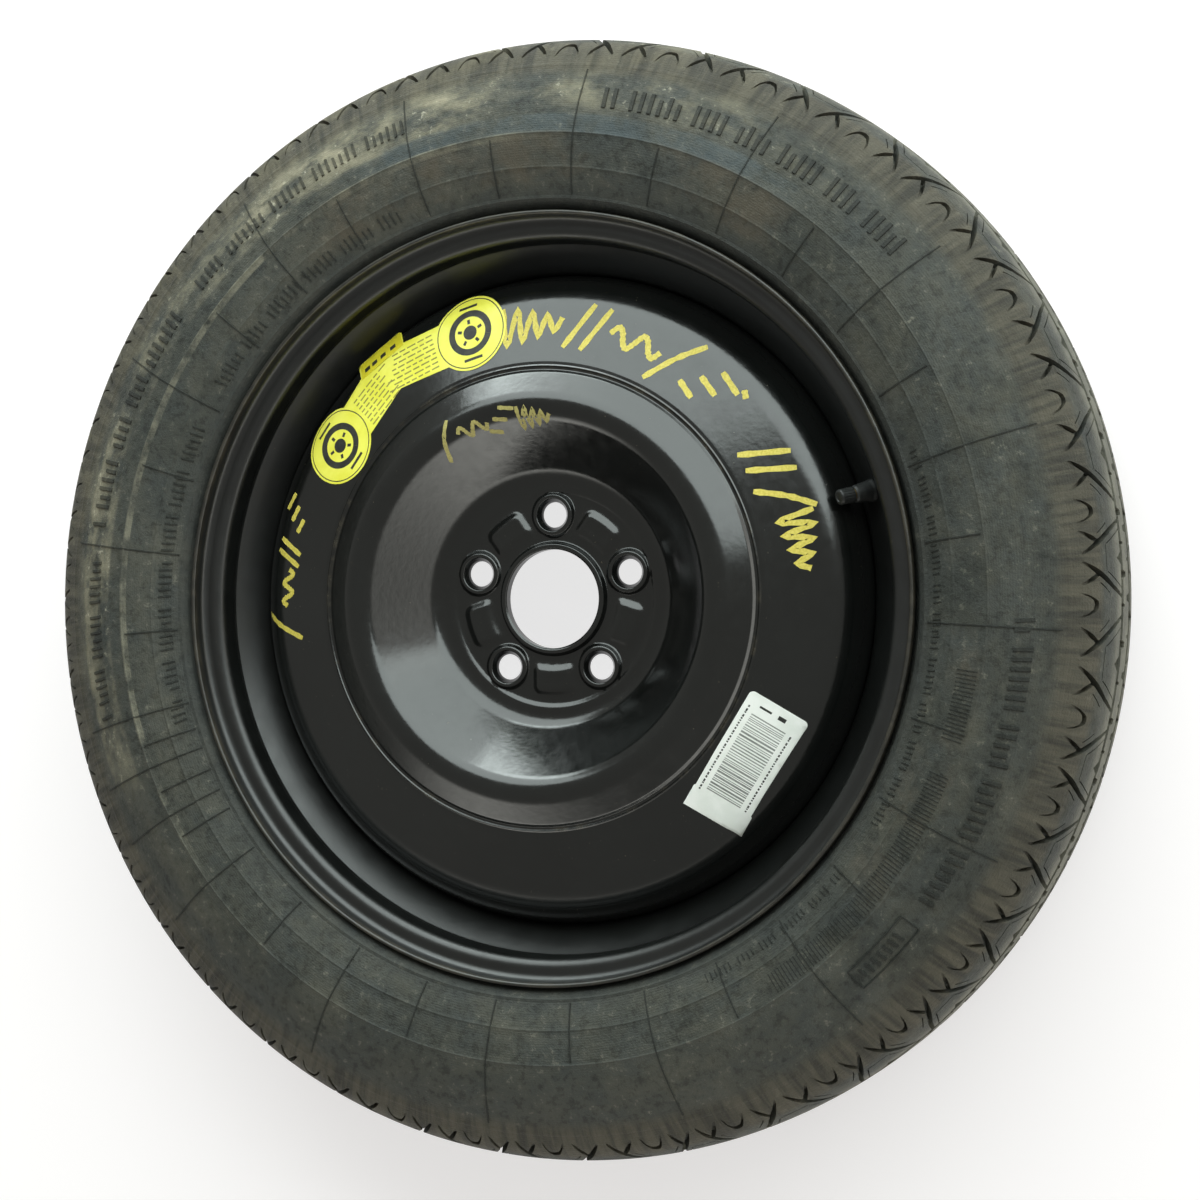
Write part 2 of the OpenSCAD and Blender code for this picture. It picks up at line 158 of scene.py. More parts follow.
def held_flat(p):
    """Points added near the ends of straight runs, so that their shading stays flat."""
    long_run, reach = 5.0, 1.2
    out = [p[0]]
    for a, b in zip(p[:-1], p[1:]):
        run = np.linalg.norm(b - a)
        if run > long_run:
            out.append(a + (b - a) * reach / run)
            out.append(b - (b - a) * reach / run)
        out.append(b)
    return np.array(out)


def stroke(points):
    """Closed outline of a stroke whose points are (x, y, width)."""
    line = np.array([q[:2] for q in points], float)
    left = [offset_path(line, q[2] / 2)[i] for i, q in enumerate(points)]
    right = [offset_path(line, -q[2] / 2)[i] for i, q in enumerate(points)]
    return np.array(left + right[::-1])


def anticlockwise(p):
    x, y = p[:, 0], p[:, 1]
    area = float(np.sum(x * np.roll(y, -1) - np.roll(x, -1) * y))
    return p if area > 0 else p[::-1]


# Meshes

class Shape:
    """Points and faces of one piece, gathered before they become a mesh."""

    def __init__(self):
        self.points = []
        self.faces = []
        self.slots = []
        self.count = 0

    def add(self, points, faces, slot=0):
        self.points.append(np.asarray(points, float))
        faces = [tuple(int(i) + self.count for i in f) for f in faces]
        self.faces += faces
        self.slots += [slot] * len(faces) if isinstance(slot, int) else list(slot)
        self.count += len(points)

    def turned(self, outline, columns, closed=True, start=0.0):
        """An outline of (radius, z) turned round the axis."""
        n = len(outline)
        angles = np.radians(start) + math.tau * np.arange(columns) / columns
        r = outline[:, 0]
        z = np.broadcast_to(outline[:, 1], (columns, n))
        x = np.cos(angles)[:, None] * r
        y = np.sin(angles)[:, None] * r
        points = np.stack([x, y, z], axis=-1).reshape(-1, 3)
        faces = []
        for c in range(columns):
            a = c * n
            b = (c + 1) % columns * n
            for k in range(n if closed else n - 1):
                m = (k + 1) % n
                faces.append((a + k, b + k, b + m, a + m))
        self.add(points, faces)


def new_object(name, data):
    made = bpy.data.objects.new(name, data)
    bpy.context.scene.collection.objects.link(made)
    return made


def facing(place, way):
    """Matrix of a thing at a place, with its own Z along the way."""
    return Matrix.Translation(place) @ way.to_track_quat("Z", "Y").to_matrix().to_4x4()


def mesh_piece(name, shape, materials, sharp=38.0, weld=0.004):
    points = np.concatenate(shape.points) * MM
    points[:, 2] += MID_Z * MM
    mesh = bpy.data.meshes.new(name)
    mesh.from_pydata(points.tolist(), [], shape.faces)
    for m in materials:
        mesh.materials.append(m)
    mesh.polygons.foreach_set("material_index", shape.slots)
    bm = bmesh.new()
    bm.from_mesh(mesh)
    bmesh.ops.remove_doubles(bm, verts=bm.verts, dist=weld * MM)
    bmesh.ops.dissolve_degenerate(bm, edges=bm.edges, dist=weld * MM / 10)
    bmesh.ops.recalc_face_normals(bm, faces=bm.faces)
    bm.to_mesh(mesh)
    bm.free()
    mesh.polygons.foreach_set("use_smooth", [True] * len(mesh.polygons))
    mesh.set_sharp_from_angle(angle=math.radians(sharp))
    return new_object(name, mesh)


def triangulate(points, edges, outlines):
    """Points, triangles and the outlines that hold each triangle."""
    points = [tuple(p) for p in points]
    rings = []
    for outline in outlines:
        base = len(points)
        points += [tuple(p) for p in anticlockwise(np.asarray(outline, float))]
        rings.append(list(range(base, len(points))))
    flat = [Vector((float(x), float(y))) for x, y in points]
    verts, _, tris, _, _, held = delaunay_2d_cdt(flat, edges, rings, 0, 1e-5)
    return np.array([(v.x, v.y) for v in verts]), tris, held


def edges_of(tri):
    return [tuple(sorted((tri[k], tri[(k + 1) % 3]))) for k in range(3)]


def sheet_faces(tris, n):
    """Both sides of a sheet whose lower points come n later, and its open edges."""
    uses = {}
    for tri in tris:
        for edge in edges_of(tri):
            uses[edge] = uses.get(edge, 0) + 1
    faces = [tuple(t) for t in tris] + [tuple(v + n for v in t[::-1]) for t in tris]
    return faces, [edge for edge, count in uses.items() if count == 1]


# Materials

class Nodes:
    """Short names for the nodes of one tree."""

    def __init__(self, tree):
        self.tree = tree

    def node(self, kind, **values):
        made = self.tree.nodes.new(kind)
        for key, value in values.items():
            setattr(made, key, value)
        return made

    def link(self, socket, value):
        if isinstance(value, bpy.types.NodeSocket):
            self.tree.links.new(value, socket)
        else:
            socket.default_value = value

    def apart(self, vector):
        made = self.node("ShaderNodeSeparateXYZ")
        self.link(made.inputs[0], vector)
        return tuple(made.outputs)

    def together(self, x, y, z):
        made = self.node("ShaderNodeCombineXYZ")
        for socket, value in zip(made.inputs, (x, y, z)):
            self.link(socket, value)
        return made.outputs[0]

    def math(self, operation, a, b=0.0, clamp=False):
        made = self.node("ShaderNodeMath", operation=operation, use_clamp=clamp)
        self.link(made.inputs[0], a)
        self.link(made.inputs[1], b)
        return made.outputs[0]

    def times(self, *values):
        """Product of values that lie between nought and one."""
        out = values[0]
        for value in values[1:]:
            out = self.math("MULTIPLY", out, value, clamp=True)
        return out

    def plus(self, *values):
        out = values[0]
        for value in values[1:]:
            out = self.math("ADD", out, value)
        return out

    def band(self, value, low, high, edge):
        """One between low and high, falling to nought over edge on both sides."""
        rise, drop = self.range(value, low - edge, low), self.range(value, high + edge, high)
        return self.math("MULTIPLY", rise, drop)

    def range(self, value, low, high, to_low=0.0, to_high=1.0):
        made = self.node("ShaderNodeMapRange", interpolation_type="SMOOTHSTEP")
        for socket, v in zip(made.inputs, (value, low, high, to_low, to_high)):
            self.link(socket, v)
        return made.outputs[0]

    def mix(self, factor, a, b, kind="RGBA"):
        made = self.node("ShaderNodeMix", data_type=kind)
        self.link(made.inputs["Factor"], factor)
        self.link(made.inputs["A"], a)
        self.link(made.inputs["B"], b)
        return made.outputs["Result"]


class Graph(Nodes):
    """A material's nodes. Its place, radius and height are in metres and its turn is in degrees."""

    def __init__(self, name, **surface):
        self.material = bpy.data.materials.new(name)
        self.material.use_nodes = True
        super().__init__(self.material.node_tree)
        self.surface = self.tree.nodes["Principled BSDF"]
        for socket, value in surface.items():
            self.set(socket.replace("_", " "), value)
        self.place = self.node("ShaderNodeTexCoord").outputs["Object"]
        x, y, self.height = self.apart(self.place)
        squares = self.plus(self.math("MULTIPLY", x, x), self.math("MULTIPLY", y, y))
        self.radius = self.math("SQRT", squares)
        self.turn = self.math("MULTIPLY", self.math("ARCTAN2", y, x), 180 / math.pi)

    def sector(self, middle, full, edge):
        """One within full degrees of an angle, falling to nought over edge."""
        turned = self.math("WRAP", self.math("SUBTRACT", self.turn, middle), 180.0)
        turned.node.inputs[2].default_value = -180.0
        return self.range(self.math("ABSOLUTE", turned), full + edge, full)

    def around(self, per_radian, per_metre):
        """Coordinates that run round the wheel and outward, for smears."""
        turn = self.math("MULTIPLY", self.turn, math.pi / 180 * per_radian)
        return self.together(turn, self.math("MULTIPLY", self.radius, per_metre), 0.0)

    def noise(self, scale, detail, roughness, vector=None, seed=0.0):
        made = self.node("ShaderNodeTexNoise", noise_dimensions="4D")
        self.link(made.inputs["Vector"], self.place if vector is None else vector)
        for socket, value in (("W", seed), ("Scale", scale), ("Detail", detail), ("Roughness", roughness)):
            made.inputs[socket].default_value = value
        return made.outputs["Fac"]

    def set(self, socket, value):
        self.link(self.surface.inputs[socket], value)

    def bump(self, height, distance):
        made = self.node("ShaderNodeBump")
        made.inputs["Distance"].default_value = distance
        self.link(made.inputs["Height"], height)
        self.set("Normal", made.outputs["Normal"])


def rgb(red, green, painted_window_sheen):
    """A colour given as it looks on screen, 0 to 255."""
    def linear(v):
        v /= 255
        return v / 12.92 if v <= 0.04045 else ((v + 0.055) / 1.055) ** 2.4
    return (linear(red), linear(green), linear(painted_window_sheen), 1.0)


def tyre_rubber(name, relief=False):
    """Grey-green rubber with smeared brown dust, most on the upper left of the outer wall."""
    g = Graph(name, Specular_IOR_Level=0.2)
    smear = g.noise(1.0, 6.0, 0.66, g.around(9.0, 60.0))
    streak = g.noise(1.0, 5.0, 0.62, g.around(52.0, 16.0), seed=12.0)
    patch = g.noise(11.0, 5.0, 0.65, seed=3.0)
    mottle = g.noise(38.0, 6.0, 0.7, seed=5.0)
    speckle = g.noise(150.0, 5.0, 0.75, seed=9.0)
    grain = g.noise(480.0, 3.0, 0.75, seed=1.0)
    cloud = g.noise(4.5, 4.0, 0.6, seed=7.0)
    clean = g.mix(g.range(cloud, 0.3, 0.7), rgb(50, 52, 48), rgb(68, 69, 64))
    clean = g.mix(g.range(mottle, 0.38, 0.66), clean, rgb(60, 63, 61))
    clean = g.mix(g.times(g.range(speckle, 0.5, 0.38), 0.6), clean, rgb(32, 34, 31))
    clean = g.mix(g.times(g.range(speckle, 0.56, 0.68), 0.34), clean, rgb(108, 107, 96))
    # Painted sheen: a bluish band on the wall's smooth ring, only on the side toward the sky window,
    # stands for that window's reflection
    painted_window_sheen = g.times(g.band(g.radius, 0.293, 0.303, 0.002), g.sector(85, 25, 8), g.range(mottle, 0.3, 0.6))
    clean = g.mix(g.times(painted_window_sheen, 0.6), clean, rgb(68, 78, 82))
    # Dust: a thin film over all, more on the outer part of the upper left and among the raised bars
    outer = g.times(g.sector(122, 22, 62), g.range(g.radius, 0.298, 0.322), 0.44)
    rows = g.times(g.band(g.radius, 0.304, 0.325, 0.003), g.sector(152, 48, 8), 0.3)
    amount = g.plus(outer, rows, 0.09)
    film = g.times(g.range(smear, 0.36, 0.66), g.range(patch, 0.3, 0.62), amount)
    dusty = g.mix(film, clean, rgb(172, 164, 140))
    fleck = g.times(g.range(speckle, 0.57, 0.68), g.range(patch, 0.3, 0.6), amount)
    dusty = g.mix(fleck, dusty, rgb(190, 184, 164))
    # Dust caught along the wall's widest ring, and brown stains inside it
    caught = g.times(g.band(g.radius, 0.2888, 0.2924, 0.0012), g.sector(155, 55, 14),
                     g.range(mottle, 0.4, 0.6), 0.5)
    dusty = g.mix(caught, dusty, rgb(140, 136, 118))
    stained = g.times(g.band(g.radius, 0.264, 0.289, 0.006), g.range(patch, 0.42, 0.58),
                      g.math("MAXIMUM", g.sector(90, 30, 14), g.sector(345, 15, 12)),
                      g.range(mottle, 0.36, 0.6), 0.62)
    dusty = g.mix(stained, dusty, rgb(84, 76, 63))
    # The shoulder's scuffed band and the tread's worn tops are browner
    level = g.math("ABSOLUTE", g.math("SUBTRACT", g.height, MID_Z * MM))
    scuffed = g.times(g.band(level, 0.047, 0.060, 0.006), g.range(g.radius, 0.325, 0.338), 0.7)
    brown = g.mix(g.range(streak, 0.36, 0.62), rgb(50, 47, 41), rgb(86, 81, 69))
    dusty = g.mix(scuffed, dusty, brown)
    tread = g.times(g.range(level, 0.034, 0.016), g.range(g.radius, 0.354, 0.358), 0.8)
    wear = g.noise(60.0, 6.0, 0.7, seed=2.0)
    worn = g.mix(g.range(wear, 0.3, 0.7), rgb(92, 91, 83), rgb(126, 124, 111))
    dusty = g.mix(tread, dusty, worn)
    # Painted shade: the rubber darkens towards the rim, where the tyre meets it
    painted_rim_shade = g.range(g.radius, 0.262, 0.25)
    dusty = g.mix(g.times(painted_rim_shade, 0.5), dusty, rgb(52, 54, 53))
    # Painted shade: the raised bars' rubber is mixed darker, standing for the shade along the bars
    if relief:
        dusty = g.mix(0.68, dusty, rgb(28, 30, 28))
    g.set("Base Color", dusty)
    g.set("Roughness", g.range(film, 0.0, 0.4, 0.6, 0.88))
    lines = g.math("SINE", g.math("MULTIPLY", g.radius, 4200.0))
    height = g.plus(g.times(grain, 0.9), g.times(smear, 0.7), g.times(speckle, 0.8))
    g.bump(g.plus(height, g.math("MULTIPLY", lines, 0.03)), 0.0009)
    return g.material


def black_paint(name):
    """Glossy black coat with orange peel, faint smears, specks of tan dirt, a worn rim lip and a painted
    highlight along the groove ring.
    """
    g = Graph(name, Specular_IOR_Level=0.8)
    cloud = g.noise(9.0, 5.0, 0.6, seed=4.0)
    coat = g.mix(g.range(cloud, 0.3, 0.7), rgb(8, 9, 8), rgb(15, 17, 16))
    dirt = g.noise(70.0, 6.0, 0.72, seed=6.0)
    speck = g.noise(520.0, 3.0, 0.7, seed=8.0)
    # Painted highlight: a thin pale line on the groove ring, patchy with the dirt noise and mixed in with
    # the tan dirt colour
    groove = g.times(g.band(g.radius, 0.1458, 0.1472, 0.0014), g.range(dirt, 0.45, 0.65), 0.16)
    specks = g.times(g.range(speck, 0.65, 0.71), g.range(dirt, 0.42, 0.66), 0.3)
    lip = g.times(g.range(g.radius, 0.2405, 0.2425), g.range(g.height, 0.134, 0.1375),
                  g.range(dirt, 0.4, 0.62, 0.03, 0.13))
    amount = g.math("MAXIMUM", g.math("MAXIMUM", groove, specks), lip)
    g.set("Base Color", g.mix(amount, coat, rgb(128, 116, 92)))
    wiped = g.noise(1.0, 5.0, 0.6, g.around(16.0, 120.0), seed=2.0)
    rough = g.range(g.plus(g.times(wiped, 0.5), g.times(dirt, 0.5)), 0.3, 0.7, 0.13, 0.24)
    on_rim = g.range(g.radius, 0.203, 0.207, 0.0, 0.17)
    g.set("Roughness", g.plus(rough, on_rim, g.times(amount, 0.5)))
    peel = g.noise(260.0, 2.0, 0.5, seed=11.0)
    g.bump(g.plus(peel, g.times(amount, 0.8)), 0.00006)
    return g.material


def plain_finish(name, dark, light, roughness, metallic=0.0, scale=180.0, depth=0.00008):
    """A finish of two close colours with fine grain."""
    g = Graph(name, Metallic=metallic)
    grain = g.noise(scale, 4.0, 0.6)
    cloud = g.noise(scale / 5, 4.0, 0.6, seed=2.0)
    change = 0.08
    g.set("Base Color", g.mix(g.range(grain, 0.35, 0.65), rgb(*dark), rgb(*light)))
    g.set("Roughness", g.range(cloud, 0.3, 0.7, roughness - change, roughness + change))
    g.bump(grain, depth)
    return g.material


def film_finish(name, dark, light, roughness, scale=40.0, depth=0.00002):
    return plain_finish(name, dark, light, roughness, scale=scale, depth=depth)


MATERIALS = {
    "tyre": tyre_rubber("tyre_rubber"),
    # The raised bars' material is darker rubber with painted shade
    "relief": tyre_rubber("tyre_rubber_raised_painted_shade", relief=True),
    "paint": black_paint("black_paint"),
    "weld": plain_finish("weld_bead", (24, 24, 24), (44, 40, 36), 0.5, scale=300.0, depth=0.0004),
    "rubber": plain_finish("valve_rubber", (18, 19, 19), (30, 32, 31), 0.48),
    "brass": plain_finish("valve_brass", (176, 142, 84), (206, 172, 104), 0.32, metallic=1.0),
    "red_seal": plain_finish("core_seal", (160, 52, 40), (186, 66, 50), 0.5),
    "steel": plain_finish("spring_steel", (172, 172, 176), (200, 200, 204), 0.28, metallic=1.0),
    "cap": plain_finish("cap_plastic", (20, 21, 21), (34, 36, 35), 0.42),
    "yellow": film_finish("yellow_film", (228, 222, 66), (240, 236, 98), 0.36),
    # Darker yellow for the sticker's tab: painted shade where the real flap bends down away from the light
    "yellow_tab_painted_shade": film_finish("yellow_film_tab_painted_shade", (206, 192, 36), (222, 208, 48), 0.4),
    "ink": plain_finish("film_ink", (30, 31, 30), (52, 52, 46), 0.5),
    "yellow_ink": plain_finish("film_fine_ink", (120, 116, 52), (146, 140, 62), 0.5),
    "white": film_finish("white_film", (232, 236, 230), (244, 246, 242), 0.42, 60.0, 0.00003),
    "bar_grey": plain_finish("film_bars", (112, 116, 112), (140, 144, 140), 0.5),
    "marker": film_finish("marker_paint", (190, 174, 62), (216, 200, 96), 0.55, 900.0, 0.00004),
    "marker_pale": film_finish("marker_paint_pale", (150, 140, 78), (178, 168, 104), 0.6, 900.0, 0.00004),
}


# Tyre

# Short and long pitches in their order round the tyre, and how many parts of a turn each takes
PITCHES = "SSSSLSLLLLLLLLLLSSSSLSSSLSSSSLSSLSLS"
PITCH_PARTS = {"S": 4, "L": 5}
PITCH_TURN = -46.6
PART_TURN = 2.25
PART_COLUMNS = 3
TYRE_COLUMNS = 480
LOWER_TURN = 4.5
FLAT_R = 355.5
TREAD_END = 57.6
GROOVE_DEPTHS = {"line": 0.5, "sipe": 2.6, "notch": 3.2, "scoop": 4.4, "groove": 6.0}
FADE_START = 47.5
FADE_RUN = 8.5
TREAD_ROWS = (0, 4.5, 9, 15, 21, 27, 33, 37, 41, 44, 46.9, 49.6, 51.5, 53, 54.5, 56, TREAD_END)
TREAD_T = 13.5
WALL_T = 7.0

# Moulded rings on the walls: radius, half width and height
RINGS = [(337.5, 1.6, 0.35), (270.7, 1.1, 0.45), (252.5, 1.6, 0.9)]
BULGE_RING = (292, 1.3, 0.5)

CROWN_PULL_Z = 30.2
BULGE_PULL = 19
CROWN = [(TYRE_R, 0), (TYRE_R, CROWN_PULL_Z), (358, 44), (TREAD_EDGE_R, TREAD_HALF)]
WALL = [(TREAD_EDGE_R, TREAD_HALF), (337, 59), (BULGE_R + BULGE_PULL, MID_Z), (BULGE_R, MID_Z)]
BEAD = [(BULGE_R, MID_Z), (BULGE_R - 15, MID_Z), (FLANGE_R + 12.5, LIP_Z + 6), (BEAD_R, LIP_Z - 1)]

WALL_LINE = np.concatenate([bezier(WALL, 300), bezier(BEAD, 200)[1:]])
CROWN_LINE = np.concatenate([bezier(CROWN, 300)[:-1], bezier(WALL, 300)])


def crown_at(z):
    """Radius and outward normal of the tread and upper wall at a height over the middle."""
    step = 1.0
    r = np.interp(z, CROWN_LINE[:, 1], CROWN_LINE[:, 0])
    ahead = np.interp(z + step, CROWN_LINE[:, 1], CROWN_LINE[:, 0])
    back = np.interp(np.abs(z - step), CROWN_LINE[:, 1], CROWN_LINE[:, 0])
    normal = np.stack([np.full_like(r, 2 * step), back - ahead], axis=-1)
    return r, normal / np.linalg.norm(normal, axis=-1, keepdims=True)


def pitch_grooves(w, even):
    """Outlines of the grooves in one pitch of the tread, each with its kind."""
    main = [(0.085, 9.0, 2.1), (0.10, 15, 2.4), (0.135, 22, 2.7), (0.20, 33, 3.1), (0.27, 40.5, 3.5),
            (0.345, 47, 3.4), (0.40, 51, 2.4), (0.455, 54.6, 1.1)]
    fork = [(0.335, 46.2, 2.6), (0.27, 50.8, 2.6), (0.205, 55.2, 1.0)]
    v_sipe = [(0.235, 46, 0.7), (0.13, 37.5, 0.7)]
    block_sipe = [(0.19, 15.2, 0.8), (0.27, 28, 0.8), (0.352, 39, 0.8)]
    scoop = [(0, 46.9), (0.035, 47.3), (0.06, 48.8), (0.09, 51.5), (0.125, 55.3), (0.108, 55.3),
             (0.075, 52.2), (0.045, 50.3), (0, 49.6)]
    found = [("groove", np.array([(0, 9), (w, 9), (w, 15), (0, 15)], float)),
             ("groove", np.array([(0.43 * w, 14.5), (0.57 * w, 14.5), (0.5 * w, 23.5)])),
             ("line", stroke([(0.36 * w, 39.8, 0.6), (0.64 * w, 39.8, 0.6)]))]
    lines = (("groove", main), ("groove", fork), ("sipe", v_sipe), ("sipe", block_sipe))
    half_pitch = [(kind, stroke([(x * w, z, width) for x, z, width in line])) for kind, line in lines]
    half_pitch.append(("scoop", np.array(scoop) * (w, 1)))
    found += half_pitch + [(kind, outline * (-1, 1) + (w, 0)) for kind, outline in half_pitch]
    mouth_z = 9.4
    for k in range(4):
        big = (k in (0, 2)) == even
        half, tip, reach = (2.8, 1.5, 1.2) if big else (1.3, 0.7, 5.0)
        x = k * w / 3
        corners = [(x - half, mouth_z), (x - tip, reach), (x + tip, reach), (x + half, mouth_z)]
        corners = [(min(max(cx, 0), w), cz) for cx, cz in corners]
        found.append(("notch", np.array(corners)))
    return found


def pitch_cell(parts, even):
    """One pitch of the tread: share of the pitch, radius and height of each point, and the faces."""
    w = parts * math.radians(PART_TURN) * FLAT_R
    columns = parts * PART_COLUMNS
    grooves = pitch_grooves(w, even)
    points = [(w * c / columns, z) for z in TREAD_ROWS for c in range(columns + 1)]
    across = columns + 1
    edges = [(r * across + c, r * across + c + 1)
             for r in range(len(TREAD_ROWS)) for c in range(columns)]
    flat, tris, held = triangulate(points, edges, [outline for _, outline in grooves])
    kinds = list(GROOVE_DEPTHS)
    levels = [max([kinds.index(grooves[k][0]) + 1 for k in h], default=0) for h in held]
    index, sides, faces = {}, {}, []

    def corner(v, level):
        return index.setdefault((v, level), len(index))

    for tri, level in zip(tris, levels):
        faces.append(tuple(corner(v, level) for v in tri))
        for edge in edges_of(tri):
            sides.setdefault(edge, []).append(level)
    for (a, b), found in sides.items():
        if len(found) == 2 and found[0] != found[1]:
            one, other = found
            faces.append((corner(a, one), corner(b, one), corner(b, other), corner(a, other)))
    order = sorted(index, key=index.get)
    place = flat[[v for v, _ in order]]
    depths = np.array([0.0] + [GROOVE_DEPTHS[k] for k in kinds])[[level for _, level in order]]
    depths = depths * fall(place[:, 1], FADE_START, FADE_RUN)
    r, normal = crown_at(place[:, 1])
    return place[:, 0] / w, r - depths * normal[:, 0], place[:, 1] - depths * normal[:, 1], faces


def ridge_rows(rings):
    """Wall from the tread's end to the bead, with its moulded rings: (radius, height) points."""
    low = WALL_LINE[WALL_LINE[:, 1] > TREAD_END][0][0]
    radii = list(np.linspace(low, BULGE_R, 10)) + list(np.linspace(BULGE_R, BEAD_R, 9))[1:]
    for radius, half, _ in rings:
        radii += [radius + half * s for s in (-1, -0.5, 0, 0.5, 1)]
    radii = sorted(set(radii), reverse=True)
    rows = []
    for radius in radii:
        z, normal = wall_at(radius)
        rise = sum(h * fall(abs(radius - r0), 0, half) for r0, half, h in rings)
        rows.append((radius + rise * normal[0], z + rise * normal[1]))
    rows[0] = (float(crown_at(np.array([TREAD_END]))[0][0]), TREAD_END)
    return np.array(rows)


def wall_at(radius):
    """Height and outward normal of the tyre's outer wall at a radius."""
    r = WALL_LINE[::-1, 0]
    z = WALL_LINE[::-1, 1]
    here, outward, inward = np.interp((radius, radius + 1, radius - 1), r, z)
    return here, unit(np.array(((inward - outward) / 2, 1.0)))


def bead_and_inside():
    """Points of (radius, height) round the bead's heel on the rim and up the tyre's inside."""
    toe_z = 39.0
    heel = np.array([(FLANGE_R + 1, LIP_Z - 6), (FLANGE_R - 2, FLANGE_Z + 1.6), (FLANGE_R - 4, FLANGE_Z),
                     (SEAT_R + 4.2, FLANGE_Z), (SEAT_R + 1.6, FLANGE_Z - 1.8), (230.63, 46.6),
                     (229.97, toe_z), (234.0, toe_z)])
    top_z = MID_Z - WALL_T
    edge_r, edge_z = TREAD_EDGE_R - TREAD_T * 0.9, TREAD_HALF - WALL_T
    belt_r = TYRE_R - TREAD_T
    return np.concatenate([
        heel,
        bezier([(FLANGE_R - 1, FLANGE_Z - 9), (FLANGE_R + 10, FLANGE_Z + 4), (BULGE_R - 14, top_z),
                (BULGE_R, top_z)], 6),
        bezier([(BULGE_R, top_z), (BULGE_R + BULGE_PULL, top_z), (edge_r - 10, edge_z + 6),
                (edge_r, edge_z)], 6)[1:],
        bezier([(edge_r, edge_z), (edge_r + 11, edge_z - 9), (belt_r, CROWN_PULL_Z), (belt_r, 0)], 6)[1:]])


def tyre_skin():
    shape = Shape()
    turn, cells = PITCH_TURN, {}
    for i, letter in enumerate(PITCHES):
        parts = PITCH_PARTS[letter]
        key = (parts, i % 2 == 0)
        if key not in cells:
            cells[key] = pitch_cell(*key)
        share, r, z, faces = cells[key]
        for way, shift in ((1, 0.0), (-1, LOWER_TURN)):
            a = np.radians(turn + shift + share * parts * PART_TURN)
            shape.add(np.stack([r * np.cos(a), r * np.sin(a), z * way], axis=-1), faces)
        turn += parts * PART_TURN
    inside = bead_and_inside()
    upper = np.concatenate([ridge_rows(RINGS + [BULGE_RING]), inside])
    lower = np.concatenate([ridge_rows(RINGS), inside])
    whole = np.concatenate([upper, (lower * (1, -1))[::-1][1:]])
    shape.turned(whole, TYRE_COLUMNS, closed=False, start=PITCH_TURN)
    piece = mesh_piece("tyre_skin", shape, [MATERIALS["tyre"]])
    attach(piece, "root")
    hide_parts("tyre")


def raised_bar(shape, path, width, height):
    """A flat bar moulded on the outer wall along a path of (radius, degrees)."""
    foot, least_top = 0.3, 0.55
    flat = np.array([polar(r, t) for r, t in path])
    wall = [wall_at(r) for r, _ in path]
    rings = []
    for i, (r, t) in enumerate(path):
        z, n = wall[i]
        out = polar(1.0, t)
        normal = np.array((out[0] * n[0], out[1] * n[0], n[1]))
        here = np.array((flat[i][0], flat[i][1], z))
        a, b = max(i - 1, 0), min(i + 1, len(path) - 1)
        along = np.array((*(flat[b] - flat[a]), wall[b][0] - wall[a][0]))
        side = unit(np.cross(normal, along)) * width / 2
        top = side * max(least_top, 1 - height / width)
        rings.append([here - side - normal * foot, here - top + normal * height,
                      here + top + normal * height, here + side - normal * foot])
    faces = []
    for i in range(len(path) - 1):
        a, b = i * 4, i * 4 + 4
        faces += [(a + k, a + (k + 1) % 4, b + (k + 1) % 4, b + k) for k in range(4)]
    faces += [(0, 1, 2, 3), tuple(len(path) * 4 - 4 + k for k in (3, 2, 1, 0))]
    shape.add(np.concatenate(rings), faces)


RIB_TURNS = (-2, 8.7, 19.2, 29.6, 40.3, 51.5, 63, 74, 85.5, 96.6, 107.5, 118.8, 130, 141, 152.4, 163.5,
             174.8, 186, 197, 201, 204, 207.5, 210.8, 214, 221, 232, 243.4, 255, 266, 277.3, 288.6,
             300, 311, 322, 333.4, 345)
RIB_START_R = 254.5
LONG_RIB_R = 334
SHORT_RIB_R = 290
FIELDS = ((306, 340), (344, 353))
FIELD_RADII = (277, 283, 289.5)
FRAME_TURNS = (314, 323)
FRAME_RADII = (305.5, 318.5)

# Width and height of the raised lines
RIB = (1.3, 0.6)
FIELD_RIB = (0.9, 0.3)
FRAME_BAR = (1.2, 0.6)

# Rows of raised bars: first and last degree, low and high radius, pitch, width and height
BAR_ROWS = (
    (-62, -38, 258, 263, 3.4, 1.2, 0.5),
    (-30, 22, 258, 263, 3.4, 1.2, 0.5),
    (112, 150, 258, 266, 4.4, 1.6, 0.6),
    (156, 200, 258, 266, 4.4, 1.6, 0.6),
    (43, 83, 309, 322, 6.2, 3.2, 0.9),
    (108, 141, 310, 320, 5.2, 2.4, 0.9),
    (145, 173, 310, 322, 6.0, 3.1, 0.9),
    (177, 196, 310, 320, 5.2, 2.4, 0.9),
    (326, 359, 308, 319, 5.8, 2.9, 0.9),
    (315.2, 322, 308.5, 315.5, 5.2, 2.4, 0.6),
)
BAR_LEAN = 0.16
BAR_GROUP = (4, 7)
SHORT_BAR_CUT = 0.22


def row_of_bars(shape, rng, start, end, low, high, pitch, width, height):
    """Bars of one lean in groups, with a gap after each group."""
    middle = (low + high) / 2
    step = math.degrees(pitch / middle)
    lean = BAR_LEAN * step
    t = start
    left = rng.randint(*BAR_GROUP)
    while t < end:
        left -= 1
        if left < 0:
            left = rng.randint(*BAR_GROUP)
        else:
            top = high - (high - low) * rng.choice((0.0, 0.0, 0.0, SHORT_BAR_CUT))
            raised_bar(shape, [(r, t + lean * (r - middle) / (high - low))
                               for r in np.linspace(low, top, 3)], width, height)
        t += step


